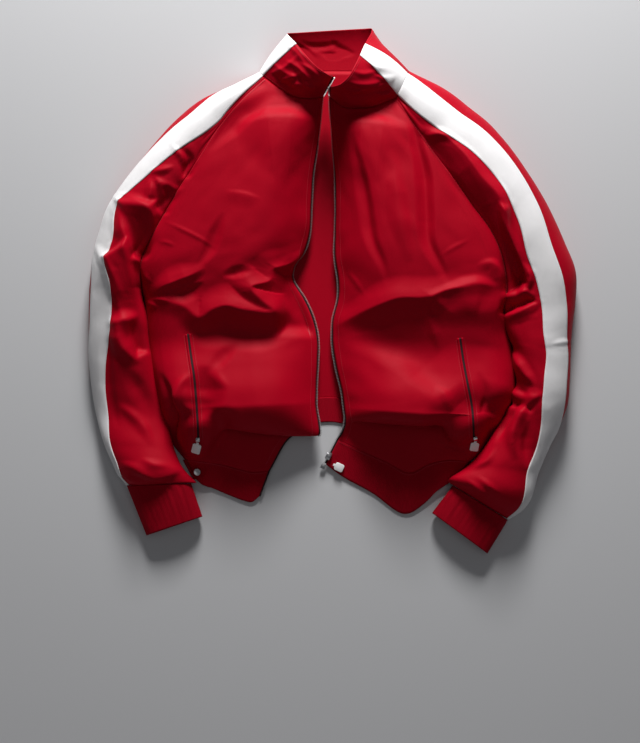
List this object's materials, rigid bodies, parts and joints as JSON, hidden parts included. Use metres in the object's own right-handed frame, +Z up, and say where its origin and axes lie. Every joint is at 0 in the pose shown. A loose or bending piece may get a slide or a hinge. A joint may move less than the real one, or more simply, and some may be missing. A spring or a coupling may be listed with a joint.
{
  "type": "windproof jacket",
  "caption": "Red zip-front windproof jacket with raglan sleeves, laid open on its back: ribbed cuffs and hem, stand collar and white bands down the sleeves.",
  "frame": {"origin": "centre of the bounding box of the jacket, at floor level", "axes": "+Z up from the floor through the laid jacket, front uppermost; +Y towards the collar, the longest extent; +X towards the wearer's left"},
  "size_m": [0.7001, 0.7559, 0.0874],
  "materials": {
    "red_cloth": "thin smooth woven wind cloth with a soft sheen",
    "red_rib": "elastic knitted rib",
    "white_tape": "flat woven tape",
    "dark_zip": "coil zip on a dark tape",
    "silver_metal": "satin nickel",
    "white_tab": "moulded soft plastic"
  },
  "bodies": {
    "jacket": {"back": "red_cloth", "front_left": "red_cloth", "front_right": "red_cloth", "sleeve_left": "red_cloth", "sleeve_right": "red_cloth", "collar": "red_cloth", "hem_band": "red_rib", "cuff_left": "red_rib", "cuff_right": "red_rib", "sleeve_band_left": "white_tape", "sleeve_band_right": "white_tape", "collar_band_left": "white_tape", "collar_band_right": "white_tape", "zip_left": "dark_zip", "zip_right": "dark_zip", "pocket_zip_left": "dark_zip", "pocket_zip_right": "dark_zip", "slider_main": "silver_metal", "slider_left": "silver_metal", "slider_right": "silver_metal", "zip_box": "silver_metal", "hem_snap": "silver_metal"},
    "main_pull": {"tab_main": "white_tab"},
    "left_pull": {"tab_left": "white_tab"},
    "right_pull": {"tab_right": "white_tab"}
  },
  "joints": [
    {"name": "main_pull_hinge", "type": "hinge", "parent": "jacket", "child": "main_pull", "pos_m": [0.00144, -0.25004, 0.00739], "axis": [-0.4273, -0.9041, 0], "range_deg": [0, 110]},
    {"name": "left_pull_hinge", "type": "hinge", "parent": "jacket", "child": "left_pull", "pos_m": [0.20296, -0.21491, 0.03546], "axis": [-0.9929, 0.1193, 0], "range_deg": [0, 110]},
    {"name": "right_pull_hinge", "type": "hinge", "parent": "jacket", "child": "right_pull", "pos_m": [-0.19116, -0.217, 0.0348], "axis": [-0.9557, 0.2945, 0], "range_deg": [0, 110]}
  ]
}
